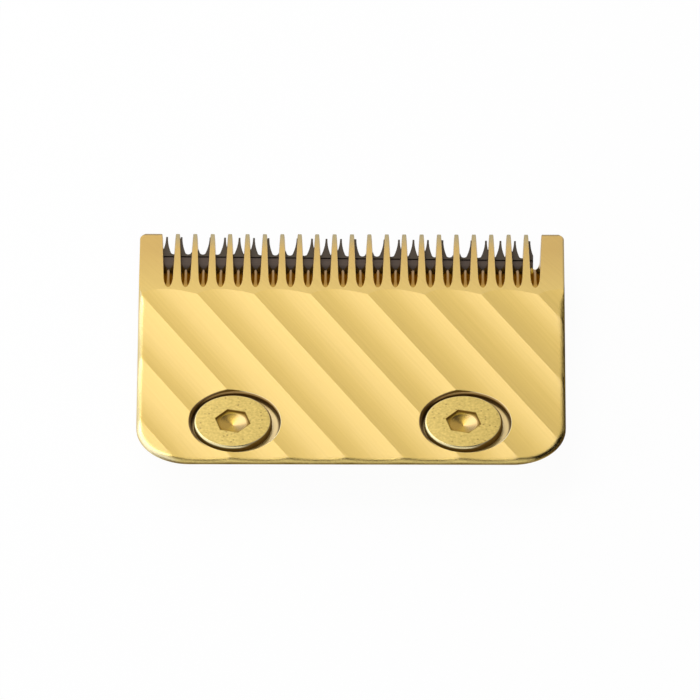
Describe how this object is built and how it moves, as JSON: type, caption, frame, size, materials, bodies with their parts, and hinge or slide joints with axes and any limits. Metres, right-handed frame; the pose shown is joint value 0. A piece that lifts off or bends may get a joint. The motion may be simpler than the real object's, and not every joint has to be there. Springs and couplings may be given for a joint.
{
  "type": "hair clipper blade",
  "caption": "Clipper blade set: fluted gold fixed blade with ground teeth, a dark toothed cutter sliding under them, and flat socket screws in oversize counterbored holes.",
  "frame": {"origin": "midway between the two screw holes, on the fixed blade's flat inner face, which seats on the clipper", "axes": "+X across the blade, +Y from the holes to the tooth tips, +Z out of the fluted outer face"},
  "size_m": [0.046, 0.0388, 0.0044],
  "materials": {
    "gold_blade": "gold-coated steel, finely brushed along the flutes",
    "dark_cutter": "satin dark-grey coated steel",
    "gold_screw": "gold-coated steel with a fine blasted grain"
  },
  "bodies": {
    "fixed": {"fixed_blade": "gold_blade", "blade_screws": "gold_screw"},
    "cutter": {"moving_blade": "dark_cutter"}
  },
  "joints": [
    {"name": "cutter_stroke", "type": "slide", "parent": "fixed", "child": "cutter", "axis": [1, 0, 0], "range_m": [-0.00016, 0.00254]}
  ]
}
